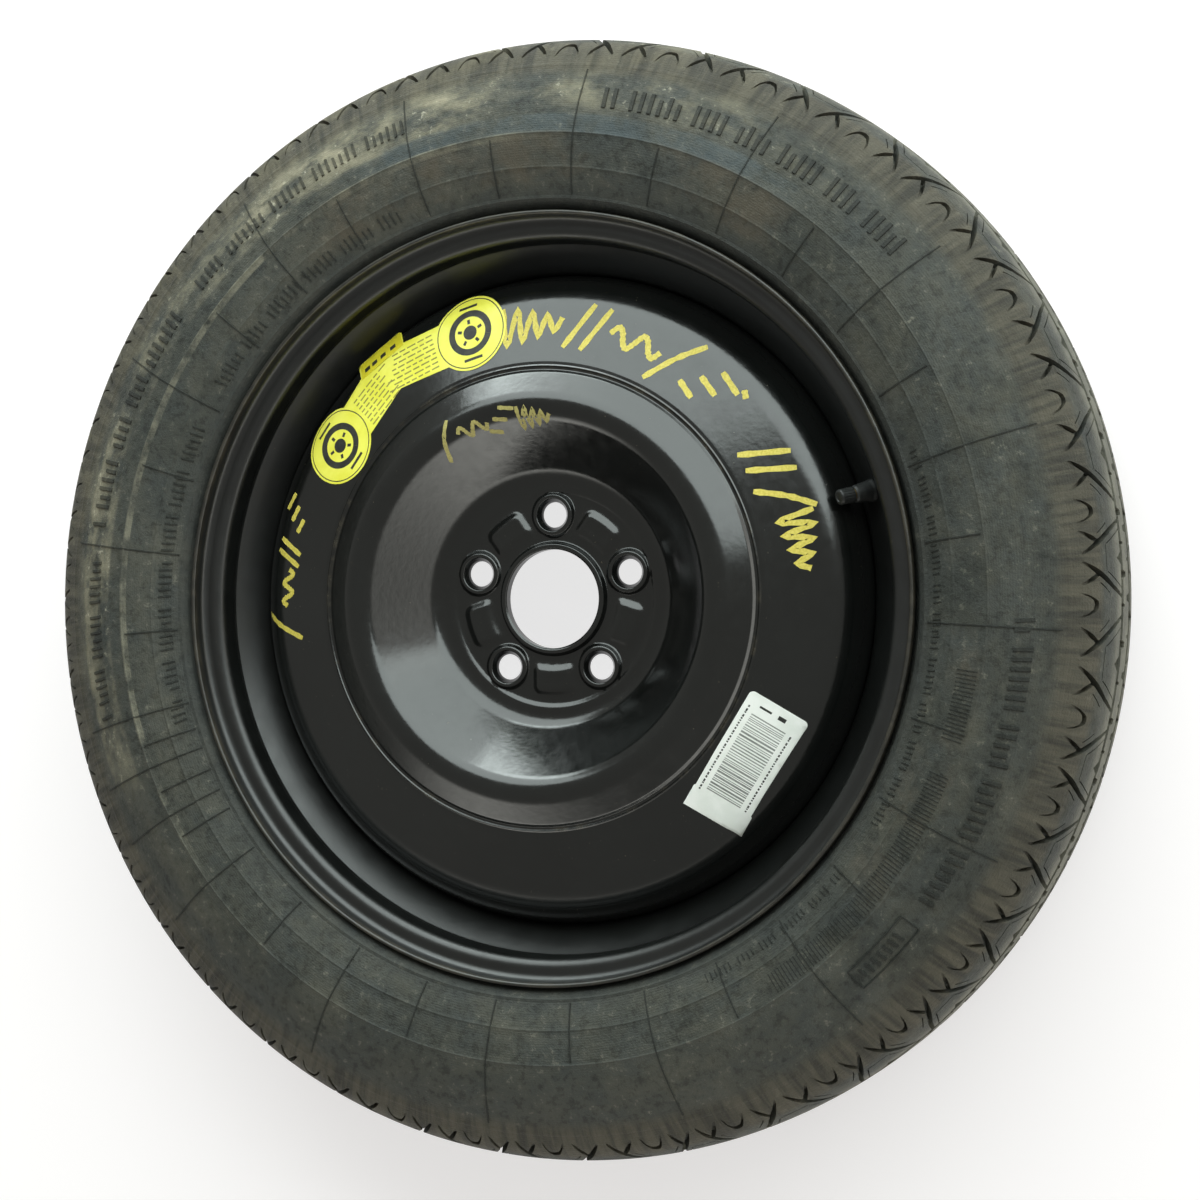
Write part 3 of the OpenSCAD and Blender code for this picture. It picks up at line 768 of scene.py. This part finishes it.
def sidewall_relief():
    """Radial ribs, a framed field, a ribbed field, and plain bars where the real wall has words."""
    shape = Shape()
    for i, t in enumerate(RIB_TURNS):
        outer = LONG_RIB_R if i % 2 == 0 else SHORT_RIB_R
        raised_bar(shape, [(r, t) for r in np.linspace(RIB_START_R, outer, 14)], *RIB)
    rng = random.Random(5)
    for row in BAR_ROWS:
        row_of_bars(shape, rng, *row)
    for start, end in FIELDS:
        for turn in np.arange(start, end, 0.5):
            raised_bar(shape, [(r, turn) for r in FIELD_RADII], *FIELD_RIB)
    for radius in FRAME_RADII:
        raised_bar(shape, [(radius, t) for t in np.linspace(*FRAME_TURNS, 10)], *FRAME_BAR)
    for turn in FRAME_TURNS:
        raised_bar(shape, [(r, turn) for r in np.linspace(*FRAME_RADII, 4)], *FRAME_BAR)
    piece = mesh_piece("sidewall_relief", shape, [MATERIALS["relief"]], weld=0.0001)
    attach(piece, "root")


# Wheel

def rim_skin():
    hump_z = SEAT_END_Z + 5.5
    hump_r = SEAT_R - (FLANGE_Z - hump_z) * math.tan(math.radians(5))
    half = [(FLANGE_R, LIP_Z, 0), (FLANGE_R, FLANGE_Z, 8), (SEAT_R, FLANGE_Z, 4), (hump_r, hump_z, 3),
            (SEAT_END_R + 1.2, SEAT_END_Z + 2.8, 2), (SEAT_END_R, SEAT_END_Z, 3), (WELL_R, RAMP_FOOT_Z, 5)]
    tyre_side = rounded_path(half + [(x, -y, radius) for x, y, radius in half[::-1]])
    air_side = offset_path(tyre_side, -RIM_T)
    shape = Shape()
    outline = np.concatenate([held_flat(tyre_side), lip_round(tyre_side[-1], air_side[-1]),
                              held_flat(air_side[::-1]), lip_round(air_side[0], tyre_side[0])])
    shape.turned(outline, 360)
    piece = mesh_piece("rim_skin", shape, [MATERIALS["paint"]])
    drill_length = 5 * RIM_T
    bpy.ops.mesh.primitive_cylinder_add(vertices=48, radius=VALVE_HOLE_R * MM, depth=drill_length * MM)
    drill = bpy.context.active_object
    drill.matrix_world = facing(VALVE_AT - VALVE_WAY * RIM_T * MM / 2, VALVE_WAY)
    cut = piece.modifiers.new("valve_hole", "BOOLEAN")
    cut.object = drill
    cut.solver = "EXACT"
    depsgraph = bpy.context.evaluated_depsgraph_get()
    bored = bpy.data.meshes.new_from_object(piece.evaluated_get(depsgraph))
    piece.modifiers.clear()
    piece.data = bored
    bpy.data.objects.remove(drill)
    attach(piece, "root")
    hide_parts("rim")


def lip_round(a, b):
    """Points of a half round end between the two faces of a sheet."""
    centre = (a + b) / 2
    across = (a - b) / 2
    out = left_of(across)
    return np.array([centre + across * math.cos(w) + out * math.sin(w) * -1
                     for w in np.radians((30, 60, 90, 120, 150))])


SKIRT = [(SKIRT_R, RAMP_FOOT_Z + 2, 5), (SKIRT_R, SKIRT_END_Z, 0)]
DISC_FRONT = rounded_path([
    (COLLAR_END_R, PAD_Z, 0), (PAD_R - 1.2, PAD_Z, 3), (PAD_R + 1.8, STEP_Z, 3), (PAD_R + 11, STEP_Z, 16),
    (CREST_R + 0.2, CREST_Z + 3.7, 14), (CREST_R + 23, TERRACE_Z + 2, 3), (CREST_R + 24.8, TERRACE_Z, 1),
    (CREST_R + 26.2, TERRACE_Z, 0.6), (CREST_R + 27.1, TERRACE_Z + 0.7, 0.5),
    (CREST_R + 28, TERRACE_Z, 0.6), (CREST_R + 30, TERRACE_Z - 0.3, 3), (SHOULDER_R, SHOULDER_Z, 31)]
    + SKIRT)
DISC_BACK = offset_path(rounded_path([
    (COLLAR_END_R, PAD_Z, 0), (PAD_R + 1, PAD_Z, 5), (PAD_R + 10, STEP_Z - 0.5, 6),
    (CREST_R - 5, CREST_Z - 1, 6), (CREST_R + 5, CREST_Z, 9), (CREST_R + 26, TERRACE_Z, 12),
    (SHOULDER_R, SHOULDER_Z, 9)] + SKIRT), -DISC_T)
JOIN_R = 76.0
DISC_COLUMNS = 288
HOLE_COLUMNS = 48


def height_at(path, radius):
    return np.interp(radius, path[:, 0], path[:, 1])


def soft_max(a, b, k):
    return (a + b + np.sqrt((a - b) ** 2 + k * k)) / 2


def pad_height(x, y):
    """Height of the pad's front: collar, bolt seats, plateaus and edge step."""
    r = np.hypot(x, y)
    turn = np.degrees(np.arctan2(y, x)) - HOLE_TURN
    half_step = HOLE_STEP / 2
    collar_h, collar_w, collar_foot = 3.8, 3.2, 2.2
    bore_drop, bore_round = 1.1, 1.3
    rise = collar_h * fall(r, BORE_R + collar_w, collar_foot) - bore_drop * fall(r, BORE_R, bore_round)
    boss_h, boss_r, boss_foot = 3.0, 12.6, 2.9
    a = np.radians((turn + half_step) % HOLE_STEP - half_step)
    from_hole = np.hypot(r * np.cos(a) - BOLT_CIRCLE_R, r * np.sin(a))
    boss = boss_h * fall(from_hole, boss_r, boss_foot)
    # Plateau: by the distance outside a rounded box that lies between two holes
    plateau_r, half_l, half_w, corner = 52.5, 13.5, 8.8, 4.0
    plateau_h, start, run = 2.6, -4.2, 7.2
    dip, dip_start, dip_run = 0.3, -7.0, 3.0
    qx = np.abs(np.radians(turn % HOLE_STEP - half_step) * r) - (half_l - corner)
    qy = np.abs(r - plateau_r) - (half_w - corner)
    edge = np.hypot(np.maximum(qx, 0), np.maximum(qy, 0)) + np.minimum(np.maximum(qx, qy), 0) - corner
    plateau = plateau_h * fall(edge, start, run) - dip * fall(edge, dip_start, dip_run)
    raised = PAD_Z + np.maximum(np.maximum(rise, boss), plateau)
    height = np.where(r > COLLAR_END_R, soft_max(height_at(DISC_FRONT, r), raised, 0.25), raised)
    seat_r, seat_edge = HOLE_R + 2.66, 0.5
    seat = PAD_Z + boss_h - (seat_r - from_hole) / math.tan(math.radians(30))
    seated = np.minimum(height, -soft_max(-height, -seat, 0.3))
    return np.where(from_hole < seat_r + seat_edge, seated, height)


def beyond_join(side):
    """One side of the disc, outward from where the pad's mesh joins it."""
    start = [(JOIN_R, height_at(side, JOIN_R))]
    return held_flat(np.concatenate([start, side[side[:, 0] > JOIN_R + 0.1]]))


def disc_skin():
    shape = Shape()
    outline = np.concatenate([beyond_join(DISC_FRONT), beyond_join(DISC_BACK)[::-1]])
    shape.turned(outline, DISC_COLUMNS, closed=False)
    seat_rings = (8.9, 9.8, 10.5, 10.9, 11.3, 12.0, 12.7, 13.4, 14.1, 14.8, 15.6)
    centres = [polar(BOLT_CIRCLE_R, HOLE_TURN + HOLE_STEP * k) for k in range(HOLE_COUNT)]
    pad_rings = [BORE_R + s for s in (0, 0.3, 0.7, 1.2, 2.0, 3.0, 3.6, 4.2, 4.8, 5.4, 6.4)]
    pad_rings += list(np.arange(39.4, JOIN_R - 0.4, 1.3)) + [JOIN_R]
    points = []
    for radius in pad_rings:
        at_end = radius in (BORE_R, JOIN_R)
        for p in circle(0, radius, DISC_COLUMNS):
            if at_end or min(np.linalg.norm(p - c) for c in centres) > seat_rings[-1] + 0.5:
                points.append(p)
    for c in centres:
        for radius in seat_rings:
            points += list(circle(c, radius, HOLE_COLUMNS))
    holes = [circle(c, HOLE_R, HOLE_COLUMNS) for c in centres]
    flat, tris, held = triangulate(points, [], [circle(0, BORE_R, DISC_COLUMNS)] + holes)
    kept = [t for t, h in zip(tris, held) if not h]
    r = np.hypot(flat[:, 0], flat[:, 1])
    top = np.where(r > JOIN_R - 0.01, height_at(DISC_FRONT, JOIN_R), pad_height(flat[:, 0], flat[:, 1]))
    low = np.where(r < COLLAR_END_R, PAD_BACK_Z, height_at(DISC_BACK, r))
    n = len(flat)
    faces, open_edges = sheet_faces(kept, n)
    faces += [(a, b, b + n, a + n) for a, b in open_edges if max(r[a], r[b]) < JOIN_R - 1]
    shape.add(np.concatenate([np.column_stack([flat, top]), np.column_stack([flat, low])]), faces)
    piece = mesh_piece("disc_skin", shape, [MATERIALS["paint"]], sharp=50.0)
    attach(piece, "root")
    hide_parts("wheel_disc")


# Labels and marks

def film(name, base, outlines, prints, materials, slot_name, lift=GLUE_T, thickness=FILM_T):
    """A thin layer over the disc, cut to plan outlines; prints are (material number, outline)."""
    grid = 3.0
    corners = np.concatenate(outlines)
    low, high = corners.min(0) - grid, corners.max(0) + grid
    points = [(x, y) for x in np.arange(low[0], high[0], grid) for y in np.arange(low[1], high[1], grid)]
    flat, tris, held = triangulate(points, [], list(outlines) + [p for _, p in prints])
    cut = len(outlines)
    kept, slots = [], []
    for t, h in zip(tris, held):
        if any(k < cut for k in h):
            kept.append(t)
            slots.append(max([prints[k - cut][0] for k in h if k >= cut], default=0))
    z = height_at(base, np.hypot(flat[:, 0], flat[:, 1])) + lift
    n = len(flat)
    faces, open_edges = sheet_faces(kept, n)
    faces += [(a, b, b + n, a + n) for a, b in open_edges]
    slots += [0] * (len(faces) - len(kept))
    shape = Shape()
    shape.add(np.concatenate([np.column_stack([flat, z + thickness]), np.column_stack([flat, z])]),
              faces, slots)
    piece = mesh_piece(name, shape, [MATERIALS[m] for m in materials], weld=0.0001)
    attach(piece, "root")
    return piece


def label_base():
    """The surface under the labels: the disc's slope, the start of its shoulder, then straight on."""
    slope_start, slope_end, run_on = CREST_R + 29.2, 199.4, 16
    first = int(np.argmax(DISC_FRONT[:, 0] > slope_start))
    slope = DISC_FRONT[first:][DISC_FRONT[first:, 0] < slope_end]
    way = unit(slope[-1] - slope[-2])
    return np.concatenate([slope, [slope[-1] + way * run_on]])


LABEL_BASE = label_base()


def ring(centre, outer, inner):
    """Outline of a ring, cut open by a hair so that it is one loop."""
    turns = list(np.linspace(0, 360, 49)[:-1]) + [359.9]
    return np.array([centre + polar(outer, t) for t in turns]
                    + [centre + polar(inner, t) for t in turns[::-1]])


def placed(outline, middle, turn):
    along = polar(1, turn)
    return np.asarray(outline) @ np.array([along, left_of(along)]) + middle


def bar(length, width):
    return np.array([(-1, -1), (1, -1), (1, 1), (-1, 1)]) * (length / 2, width / 2)


def yellow_sticker():
    """Two round fields on a band with a knee, and a tab printed a darker yellow as painted shade; the
    print is plain signs and bars.
    """
    fast, slow = polar(178.5, 108), polar(174.5, 146.3)
    knee, outer_r, inner_r = 128.3, 195, 168
    field_r, band_w, tab_w, reach = 25.4, 31, 38, 206.5
    painted_shade_tab, ink, fine_ink = 1, 2, 3

    def field(centre):
        way = polar((outer_r + inner_r) / 2, knee) - centre
        half = math.degrees(math.asin(band_w / 2 / field_r))
        start = math.degrees(math.atan2(way[1], way[0])) + half
        return [centre + polar(field_r, start + (360 - 2 * half) * k / 40) for k in range(41)]

    def tab(radius, side):
        return polar(radius, knee) + left_of(polar(1, knee)) * side * tab_w / 2

    tab_outline = [tab(outer_r, -1), tab(reach - 2, -1), tab(reach, -0.9), tab(reach, 0.9),
                   tab(reach - 2, 1), tab(outer_r, 1)]
    outline = np.array(field(fast) + tab_outline + field(slow) + [polar(inner_r, knee - 1.2)])
    # Painted shade: the tab is printed a darker yellow where the real flap bends down over the disc's
    # shoulder
    prints = [(painted_shade_tab, np.array([tab(outer_r - 1.5, -0.97), tab(reach - 0.5, -0.94),
                                     tab(reach - 0.5, 0.94), tab(outer_r - 1.5, 0.97)]))]
    for side in (-0.55, -0.1, 0.3, 0.65):
        prints.append((ink, placed(bar(4.5, 3.2), tab(outer_r + 3.5, side), knee + 90)))
    for centre in (fast, slow):
        turn = math.degrees(math.atan2(centre[1], centre[0]))
        prints.append((ink, ring(centre, 24.0, 23.3)))
        prints.append((ink, ring(centre, 15.3, 10.9)))
        prints.append((ink, circle(centre, 4.8, 24)))
        for spoke in (turn + HOLE_STEP * k for k in range(HOLE_COUNT)):
            prints.append((ink, placed(bar(3.0, 2.0), centre + polar(7.5, spoke), spoke)))
        for way in (1, -1):
            prints.append((ink, placed(bar(1.9, 13), centre + polar(18.2 * way, turn), turn)))
    rng = random.Random(11)
    row_step, gap = 3.3, 1.5
    for start, end in ((fast, polar(182, knee)), (slow, polar(179, knee))):
        way = unit(end - start)
        turn = math.degrees(math.atan2(way[1], way[0]))
        for row in np.arange(-11.5, 12, row_step):
            x = 26.5
            while x < np.linalg.norm(end - start) - 4 + row * 0.2:
                length = rng.uniform(2.5, 7)
                middle = start + way * (x + length / 2) + left_of(way) * row
                prints.append((fine_ink, placed(bar(length, 1.0), middle, turn)))
                x += length + gap
    piece = film("yellow_sticker_film", LABEL_BASE, [outline], prints,
                 ["yellow", "yellow_tab_painted_shade", "ink", "yellow_ink"], "yellow_film")
    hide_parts("yellow_sticker")


def white_label():
    """Paper label with a field of plain bars and short dashes."""
    middle, turn = np.array((138.0, -99.0)), 59.0
    half_l, half_w, corner = 42.0, 19.5, 3.0
    grey, ink = 1, 2

    def at(x, y):
        return placed((x, y), middle, turn)

    upper = [polar(corner, 15 * k) + (half_l - corner, half_w - corner) for k in range(7)]
    upper = np.array(upper + [(15 - half_l, half_w - 0.8), (14 - half_l, half_w), (-half_l, half_w)])
    outline = placed(np.concatenate([upper[::-1] * (1, -1), upper]), middle, turn)
    rng = random.Random(23)
    prints = []
    x = -26.0
    while x < 30:
        wide = rng.choice((0.5, 0.5, 0.8, 1.2))
        prints.append((grey, placed(bar(wide, 23), at(x + wide / 2, 0.5), turn)))
        x += wide + rng.choice((0.6, 0.8, 1.1))
    for y, low, high in ((15.6, -28, 34), (-14.6, -26, 30)):
        x = low
        while x < high:
            length = rng.uniform(0.8, 2.0)
            prints.append((ink, placed(bar(length, 1.1), at(x, y), turn)))
            x += length + 0.8
    for y, length, width in ((6, 1.4, 8), (-5, 2.6, 5)):
        prints.append((ink, placed(bar(length, width), at(35.5, y), turn)))
    piece = film("white_label_film", LABEL_BASE, [outline], prints, ["white", "bar_grey", "ink"],
                 "white_film")
    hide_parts("white_label")


def marker_strokes():
    """Yellow paint-pen strokes along two arcs and across the bowl's crest."""
    scribble = [(-0.5 + 0.125 * k, 0.3 * (-1) ** k * (1 - 0.09 * k)) for k in range(9)]
    wave = [(-0.5 + 0.1 * k, 0.16 * math.sin(1.25 * k)) for k in range(11)]
    coil = [(-0.42 + 0.0009 * w + 0.15 * math.sin(math.radians(w)), 0.3 * math.cos(math.radians(w)))
            for w in range(0, 1000, 40)]
    signs = {
        "slash": [[(-0.3, -0.5), (0.0, 0.05), (0.35, 0.5)]],
        "pair": [[(-0.4, -0.45), (0.0, 0.45)], [(-0.05, -0.45), (0.35, 0.4)]],
        "stairs": [[(-0.5, -0.25), (-0.1, -0.35)], [(-0.25, 0.05), (0.2, -0.05)],
                   [(0.0, 0.35), (0.5, 0.22)]],
        "scribble": [scribble],
        "wave": [wave],
        "coil": [coil],
    }
    rows = (
        ("marker", 3.9, (("scribble", 174, 94, 42), ("pair", 174, 81, 34), ("wave", 172, 70, 36),
                         ("slash", 172, 60.5, 36), ("stairs", 172, 51, 34), ("coil", 173, 40.5, 38),
                         ("pair", 172, 30.5, 32), ("slash", 172, 22.5, 32), ("scribble", 174, 13, 36))),
        ("marker", 3.5, (("slash", 186, 187, 30), ("wave", 182, 179, 24), ("pair", 184, 171.5, 22),
                         ("stairs", 186, 163.5, 24))),
        ("marker_pale", 2.6, (("slash", 116, 122, 22), ("wave", 115, 112, 21), ("stairs", 115, 102, 21),
                              ("scribble", 114, 91, 22))),
    )
    for number, (material, width, marks) in enumerate(rows, 1):
        outlines = []
        for sign, radius, turn, size in marks:
            middle = polar(radius, turn)
            for line in signs[sign]:
                smooth = rounded_line(placed(np.array(line) * size, middle, turn - 90))
                outlines.append(stroke([(x, y, width * (0.75 + 0.35 * math.sin(1.3 * k) ** 2))
                                        for k, (x, y) in enumerate(smooth)]))
        film("marker_strokes_%d" % number, DISC_FRONT, outlines, [], [material], "yellow_film",
             lift=0.02, thickness=0.09)


def rounded_line(points):
    """A curve through the points."""
    steps = 5
    p = [2 * points[0] - points[1]] + list(points) + [2 * points[-1] - points[-2]]
    out = []
    for a, b, c, d in zip(p, p[1:], p[2:], p[3:]):
        for k in range(steps):
            t = k / steps
            out.append(0.5 * (2 * b + (c - a) * t + (2 * a - 5 * b + 4 * c - d) * t * t
                              + (3 * b - a - 3 * c + d) * t ** 3))
    out.append(points[-1])
    return out


FINISHES = {
    "weld_beads": "weld", "valve_rubber": "rubber", "valve_stem": "brass", "core_barrel": "brass",
    "core_seal": "red_seal", "core_pin": "brass", "core_spring": "steel", "core_cup": "rubber",
    "valve_cap": "cap", "cap_seal": "rubber",
}


def small_parts():
    """CAD nodes that keep their shape and take a better finish."""
    for node, material in FINISHES.items():
        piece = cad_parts[node]
        piece.data.materials.clear()
        piece.data.materials.append(MATERIALS[material])


# Camera, floor and light

def camera():
    """The photograph's view, fitted to the tyre's outer circle and the hub."""
    tilt, pitch, roll = (math.radians(v) for v in (20.72, -0.27, -1.43))
    from_wheel = Vector((19.1, -0.4, 1727.0))
    turn = Matrix.Rotation(roll, 3, "Z") @ Matrix.Rotation(pitch, 3, "X") @ Matrix.Rotation(-tilt, 3, "Y")
    turn.transpose()
    data = bpy.data.cameras.new("camera")
    data.sensor_fit = "HORIZONTAL"
    data.sensor_width = 36
    data.lens = 79.38
    data.clip_end = 50
    view = new_object("camera", data)
    place = turn @ from_wheel * MM + Vector((0, 0, MID_Z * MM))
    view.matrix_world = Matrix.Translation(place) @ turn.to_4x4()
    bpy.context.scene.camera = view


def floor():
    half = 6.0
    corners = [(-half, -half, 0), (half, -half, 0), (half, half, 0), (-half, half, 0)]
    mesh = bpy.data.meshes.new("floor")
    mesh.from_pydata(corners, [], [(0, 1, 2, 3)])
    plane = new_object("floor", mesh)
    g = Graph("floor", Roughness=0.9, Specular_IOR_Level=0.1, Emission_Color=(1, 1, 1, 1))
    g.set("Base Color", rgb(196, 190, 191))
    rays = g.node("ShaderNodeLightPath")
    seen = g.math("MAXIMUM", rays.outputs["Is Camera Ray"], rays.outputs["Is Glossy Ray"])
    # Painted light: the floor glows brighter under the wheel, lifting the shade that shows through the
    # bore and bolt holes
    glow = g.range(g.radius, 0.25, 0.2, 0.55, 0.75)
    g.set("Emission Strength", g.math("MULTIPLY", seen, glow))
    mesh.materials.append(g.material)


WINDOW_TINT = (0.89, 1.0, 0.98)
HORIZON = 2.6
CEILING = 0.3
NEAR_SIDE = (0.64, -0.77)


def area_light(name, azimuth, elevation, distance, size, power):
    """A window in a direction given in degrees, turned to the middle of the wheel."""
    data = bpy.data.lights.new(name, "AREA")
    data.color = WINDOW_TINT
    data.shape = "RECTANGLE"
    data.size, data.size_y = size
    data.energy = power
    a, e = math.radians(azimuth), math.radians(elevation)
    way = Vector((math.cos(a) * math.cos(e), math.sin(a) * math.cos(e), math.sin(e)))
    new_object(name, data).matrix_world = facing(Vector((0, 0, 0.08)) + way * distance, way)


def light():
    """A pale sky window on the upper side, a bright horizon on the near side and a dim ceiling."""
    world = bpy.data.worlds.new("world")
    bpy.context.scene.world = world
    world.use_nodes = True
    g = Nodes(world.node_tree)
    rays = g.node("ShaderNodeLightPath")
    seen = g.math("MAXIMUM", rays.outputs["Is Camera Ray"], rays.outputs["Is Transmission Ray"])
    x, y, up = g.apart(g.node("ShaderNodeTexCoord").outputs["Generated"])
    toward = g.plus(g.math("MULTIPLY", x, NEAR_SIDE[0]), g.math("MULTIPLY", y, NEAR_SIDE[1]))
    glow = g.math("MULTIPLY", g.range(up, 0.5, 0.16, 0.0, HORIZON - CEILING), g.range(toward, -0.2, 0.4))
    background = g.tree.nodes["Background"]
    g.link(background.inputs["Color"], g.mix(seen, (1.0, 1.0, 0.93, 1), (1, 1, 1, 1)))
    g.link(background.inputs["Strength"], g.mix(seen, g.plus(glow, CEILING), 1.0, kind="FLOAT"))
    area_light("sky_window", 80, 32, 2.4, (4.8, 2.55), 132)
    area_light("low_window", 112, 10, 2.4, (1.6, 0.7), 16)


camera()
floor()
light()
tyre_skin()
sidewall_relief()
rim_skin()
disc_skin()
small_parts()
yellow_sticker()
white_label()
marker_strokes()
bpy.context.scene.view_settings.view_transform = "Standard"

bpy.context.view_layer.update()
